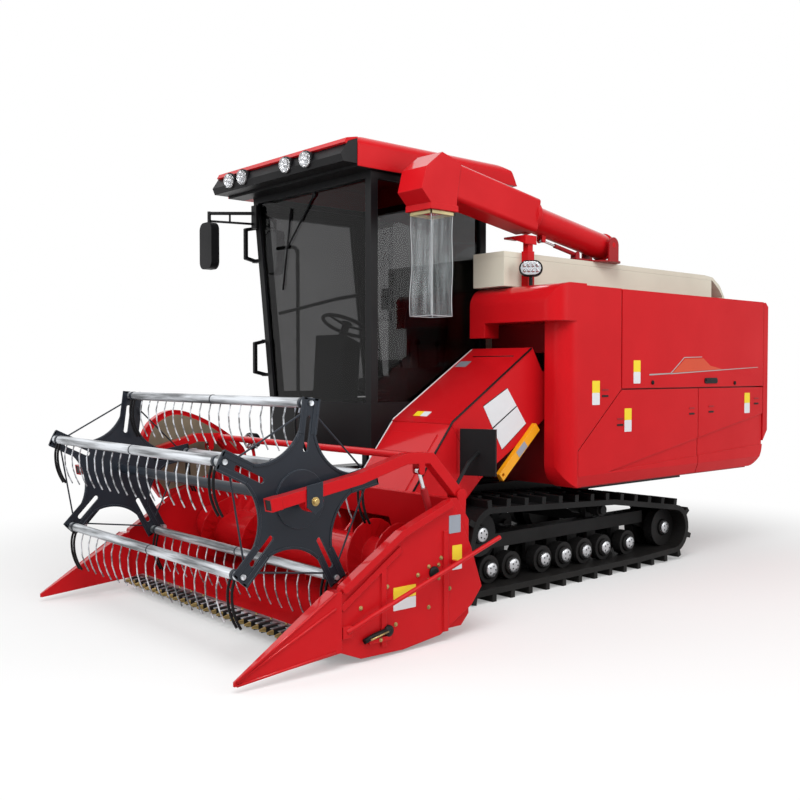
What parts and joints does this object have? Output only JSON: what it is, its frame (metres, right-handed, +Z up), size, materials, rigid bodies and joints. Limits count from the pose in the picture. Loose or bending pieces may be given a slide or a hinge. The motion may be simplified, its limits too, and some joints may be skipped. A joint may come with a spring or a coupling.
{
  "type": "combine harvester",
  "caption": "Full-feed crawler combine harvester with a cab, eccentric tined reel, feed screw, feeder house, grain tank and swinging unloading boom on two rubber tracks.",
  "frame": {"origin": "middle of the overall box at ground level", "axes": "+Z up, the header points to -Y, +X is the machine's left side"},
  "size_m": [2.9644, 5.688, 3.07],
  "materials": {
    "red_paint": "gloss enamel",
    "cream_paint": "satin enamel",
    "black_paint": "satin enamel",
    "dark_iron": "painted casting",
    "track_rubber": "matte",
    "slate_paint": "satin enamel",
    "galvanised": "galvanised",
    "ram_paint": "gloss enamel",
    "ram_chrome": "polished",
    "black_plastic": "moulded",
    "cab_glass": "tinted",
    "seat_vinyl": "grained",
    "clear_sleeve": "clear",
    "yellow_paint": "gloss enamel"
  },
  "bodies": {
    "chassis": {"track_left": "track_rubber", "track_right": "track_rubber", "rollers_left": "dark_iron", "rollers_right": "dark_iron", "track_frame_left": "dark_iron", "track_frame_right": "dark_iron", "chassis_frame": "black_paint", "drive_axle": "dark_iron", "engine": "dark_iron", "thresher_housing": "red_paint", "front_fairing": "red_paint", "lower_panel_front": "red_paint", "lower_panel_rear": "red_paint", "rear_hood": "red_paint", "right_panel": "red_paint", "radiator_door": "red_paint", "grain_tank": "cream_paint", "tank_roof": "cream_paint", "boom_rest": "red_paint", "work_lamp": "black_plastic", "cab_base": "black_paint", "cab_frame": "black_paint", "cab_roof": "red_paint", "roof_visor": "black_plastic", "cab_glass": "cab_glass", "seat": "seat_vinyl", "console": "black_plastic", "handrails": "black_paint", "mirror": "black_plastic"},
    "header": {"feeder_house": "red_paint", "header_trough": "red_paint", "header_sides": "red_paint", "dividers": "red_paint", "cutter_bar": "slate_paint", "crop_rod": "red_paint", "safety_prop": "yellow_paint", "header_mirror": "black_plastic"},
    "screw": {"feed_screw": "red_paint"},
    "reel_frame": {"reel_arms": "red_paint"},
    "reel": {"reel_stars": "slate_paint"},
    "eccentric": {"eccentric_spider": "slate_paint"},
    "reel_rams": {"reel_ram_barrels": "ram_paint"},
    "reel_rods": {"reel_ram_rods": "ram_chrome"},
    "lift_ram": {"lift_ram_barrel": "ram_paint"},
    "lift_rod": {"lift_ram_rod": "ram_chrome"},
    "boom_base": {"boom_turret": "red_paint"},
    "boom": {"boom_tube": "red_paint", "boom_outlet": "red_paint", "spout_sleeve": "clear_sleeve"},
    "boom_ram": {"boom_ram_barrel": "ram_paint"},
    "boom_rod": {"boom_ram_rod": "ram_chrome"},
    "door": {"cab_door": "black_paint", "door_glass": "cab_glass"},
    "cover": {"side_cover": "red_paint"},
    "bar_1": {"tine_bar_1": "galvanised"},
    "bar_2": {"tine_bar_2": "galvanised"},
    "bar_3": {"tine_bar_3": "galvanised"},
    "bar_4": {"tine_bar_4": "galvanised"},
    "bar_5": {"tine_bar_5": "galvanised"}
  },
  "joints": [
    {"name": "header_lift", "type": "hinge", "parent": "chassis", "child": "header", "pos_m": [0.0825, 0.124, 1.45], "axis": [-1, 0, 0], "range_deg": [0, 17]},
    {"name": "lift_ram_swing", "type": "hinge", "parent": "chassis", "child": "lift_ram", "pos_m": [0.3045, 0.064, 0.62], "axis": [-1, 0, 0], "range_deg": [-1, 19]},
    {"name": "lift_ram_stroke", "type": "slide", "parent": "lift_ram", "child": "lift_rod", "axis": [0, -0.995, -0.0995], "range_m": [-0.005, 0.252]},
    {"name": "reel_lift", "type": "hinge", "parent": "header", "child": "reel_frame", "pos_m": [0.2225, -1.331, 0.8], "axis": [-1, 0, 0], "range_deg": [0, 14]},
    {"name": "reel_ram_swing", "type": "hinge", "parent": "header", "child": "reel_rams", "pos_m": [0.2225, -1.536, 0.7], "axis": [-1, 0, 0], "range_deg": [-1, 13]},
    {"name": "reel_ram_stroke", "type": "slide", "parent": "reel_rams", "child": "reel_rods", "axis": [0, -0.3328, 0.943], "range_m": [-0.003, 0.058]},
    {"name": "reel_spin", "type": "hinge", "parent": "reel_frame", "child": "reel", "pos_m": [0.2225, -2.356, 0.855], "axis": [-1, 0, 0], "continuous": true},
    {"name": "eccentric_spin", "type": "hinge", "parent": "reel_frame", "child": "eccentric", "pos_m": [0.2225, -2.266, 0.855], "axis": [-1, 0, 0], "continuous": true},
    {"name": "screw_spin", "type": "hinge", "parent": "header", "child": "screw", "pos_m": [0.2225, -1.586, 0.4], "axis": [-1, 0, 0], "continuous": true},
    {"name": "boom_swing", "type": "hinge", "parent": "chassis", "child": "boom_base", "pos_m": [0.5325, 1.064, 2.36], "axis": [0, 0, 1], "range_deg": [0, 120]},
    {"name": "boom_lift", "type": "hinge", "parent": "boom_base", "child": "boom", "pos_m": [0.5325, 1.064, 2.494], "axis": [-1, 0, 0], "range_deg": [0, 15]},
    {"name": "boom_ram_swing", "type": "hinge", "parent": "boom_base", "child": "boom_ram", "pos_m": [0.5325, 0.754, 2.406], "axis": [-1, 0, 0], "range_deg": [-1, 26]},
    {"name": "boom_ram_stroke", "type": "slide", "parent": "boom_ram", "child": "boom_rod", "axis": [0, -0.9833, 0.1819], "range_m": [-0.003, 0.054]},
    {"name": "cab_door_swing", "type": "hinge", "parent": "chassis", "child": "door", "pos_m": [-1.01418, -0.018, 1.28546], "axis": [-0.1419, 0, 0.9899], "range_deg": [-75, 0]},
    {"name": "side_cover_lift", "type": "hinge", "parent": "chassis", "child": "cover", "pos_m": [1.0645, 1.614, 2.082], "axis": [0, 1, 0], "range_deg": [-80, 0]},
    {"name": "bar_1_turn", "type": "hinge", "parent": "reel", "child": "bar_1", "pos_m": [0.2225, -1.87344, 0.94009], "axis": [-1, 0, 0], "continuous": true},
    {"name": "bar_2_turn", "type": "hinge", "parent": "reel", "child": "bar_2", "pos_m": [0.2225, -2.28781, 1.34023], "axis": [-1, 0, 0], "continuous": true},
    {"name": "bar_3_turn", "type": "hinge", "parent": "reel", "child": "bar_3", "pos_m": [0.2225, -2.79641, 1.0698], "axis": [-1, 0, 0], "continuous": true},
    {"name": "bar_4_turn", "type": "hinge", "parent": "reel", "child": "bar_4", "pos_m": [0.2225, -2.69638, 0.50252], "axis": [-1, 0, 0], "continuous": true},
    {"name": "bar_5_turn", "type": "hinge", "parent": "reel", "child": "bar_5", "pos_m": [0.2225, -2.12596, 0.42236], "axis": [-1, 0, 0], "continuous": true}
  ],
  "couplings": [
    {"joint": "lift_ram_swing", "follows": "header_lift", "ratio": 1.0409},
    {"joint": "lift_ram_stroke", "follows": "header_lift", "m_per_rad": 0.82875},
    {"joint": "reel_ram_swing", "follows": "reel_lift", "ratio": 0.84606},
    {"joint": "reel_ram_stroke", "follows": "reel_lift", "m_per_rad": 0.22239},
    {"joint": "boom_ram_swing", "follows": "boom_lift", "ratio": 1.6039},
    {"joint": "boom_ram_stroke", "follows": "boom_lift", "m_per_rad": 0.18963},
    {"joint": "eccentric_spin", "follows": "reel_spin", "ratio": 1},
    {"joint": "bar_1_turn", "follows": "reel_spin", "ratio": -1},
    {"joint": "bar_2_turn", "follows": "reel_spin", "ratio": -1},
    {"joint": "bar_3_turn", "follows": "reel_spin", "ratio": -1},
    {"joint": "bar_4_turn", "follows": "reel_spin", "ratio": -1},
    {"joint": "bar_5_turn", "follows": "reel_spin", "ratio": -1}
  ]
}
